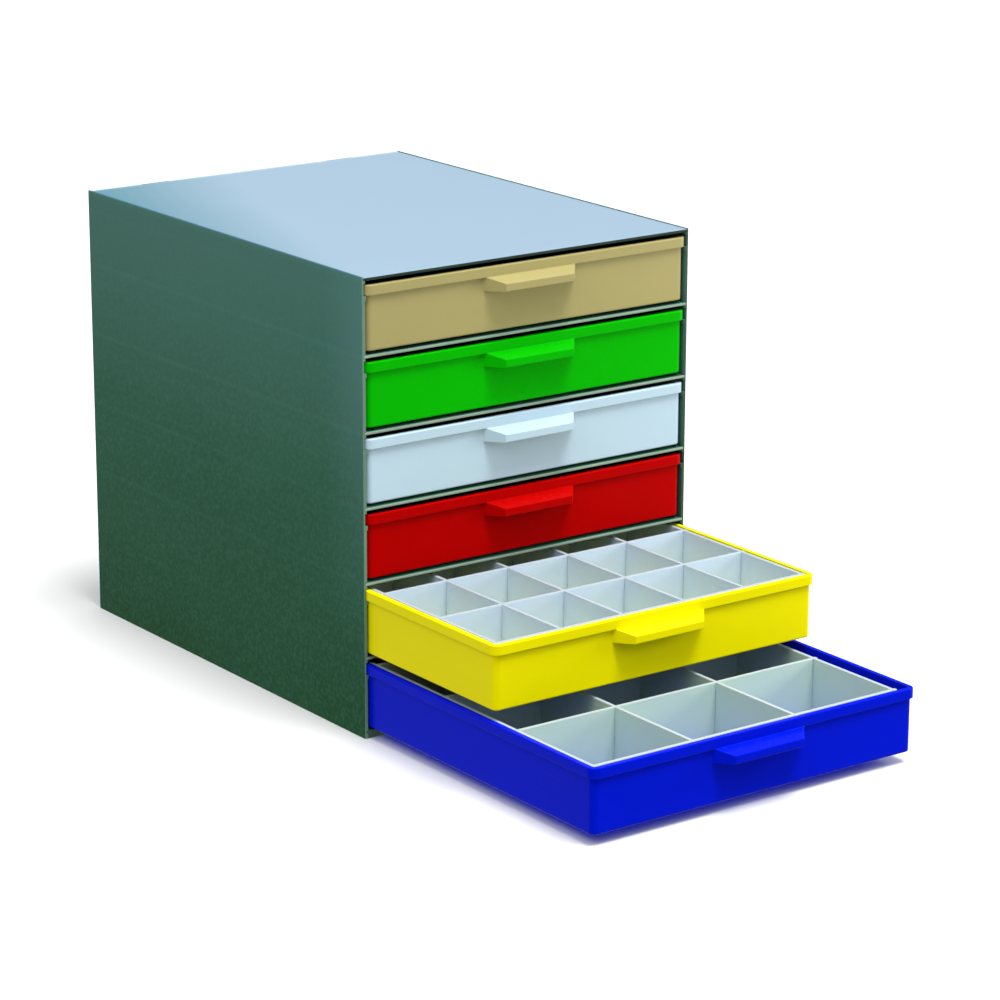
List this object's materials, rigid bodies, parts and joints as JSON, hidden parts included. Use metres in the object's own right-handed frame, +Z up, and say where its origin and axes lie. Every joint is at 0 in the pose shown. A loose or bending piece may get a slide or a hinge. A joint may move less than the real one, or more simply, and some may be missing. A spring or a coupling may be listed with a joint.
{
  "type": "desktop drawer organizer",
  "caption": "Free-standing desk cabinet of stacked sliding trays hung by their rims, each with a finger ledge; slot-together divider grids sit in the lowest trays.",
  "frame": {"origin": "centre of the cabinet's footprint, on the plane of the table", "axes": "+Z up, drawer fronts face -Y, +X to the right as seen from the front"},
  "size_m": [0.278, 0.6278, 0.3242],
  "materials": {
    "cabinet": "satin moulded",
    "beige": "satin moulded",
    "green": "satin moulded",
    "white": "satin moulded",
    "red": "satin moulded",
    "yellow": "satin moulded",
    "blue": "satin moulded",
    "divider": "smooth sheet"
  },
  "bodies": {
    "cabinet": {"side_panel_left": "cabinet", "side_panel_right": "cabinet", "top_panel": "cabinet", "base_panel": "cabinet", "back_panel": "cabinet", "shelf_1": "cabinet", "shelf_2": "cabinet", "shelf_3": "cabinet", "shelf_4": "cabinet", "shelf_5": "cabinet"},
    "beige_drawer": {"drawer_beige": "beige"},
    "green_drawer": {"drawer_green": "green"},
    "white_drawer": {"drawer_white": "white"},
    "red_drawer": {"drawer_red": "red"},
    "yellow_drawer": {"drawer_yellow": "yellow", "yellow_long_1": "divider", "yellow_long_2": "divider", "yellow_long_3": "divider", "yellow_long_4": "divider", "yellow_long_5": "divider", "yellow_long_6": "divider", "yellow_cross_1": "divider", "yellow_cross_2": "divider", "yellow_cross_3": "divider", "yellow_cross_4": "divider", "yellow_cross_5": "divider", "yellow_cross_6": "divider"},
    "blue_drawer": {"drawer_blue": "blue", "blue_long_1": "divider", "blue_long_2": "divider", "blue_long_3": "divider", "blue_long_4": "divider", "blue_cross_1": "divider", "blue_cross_2": "divider", "blue_cross_3": "divider", "blue_cross_4": "divider", "blue_cross_5": "divider"}
  },
  "joints": [
    {"name": "beige_slide", "type": "slide", "parent": "cabinet", "child": "beige_drawer", "axis": [0, -1, 0], "range_m": [0, 0.3]},
    {"name": "green_slide", "type": "slide", "parent": "cabinet", "child": "green_drawer", "axis": [0, -1, 0], "range_m": [0, 0.3]},
    {"name": "white_slide", "type": "slide", "parent": "cabinet", "child": "white_drawer", "axis": [0, -1, 0], "range_m": [0, 0.3]},
    {"name": "red_slide", "type": "slide", "parent": "cabinet", "child": "red_drawer", "axis": [0, -1, 0], "range_m": [0, 0.3]},
    {"name": "yellow_slide", "type": "slide", "parent": "cabinet", "child": "yellow_drawer", "axis": [0, -1, 0], "range_m": [-0.1472, 0.1528]},
    {"name": "blue_slide", "type": "slide", "parent": "cabinet", "child": "blue_drawer", "axis": [0, -1, 0], "range_m": [-0.2528, 0.0472]}
  ]
}
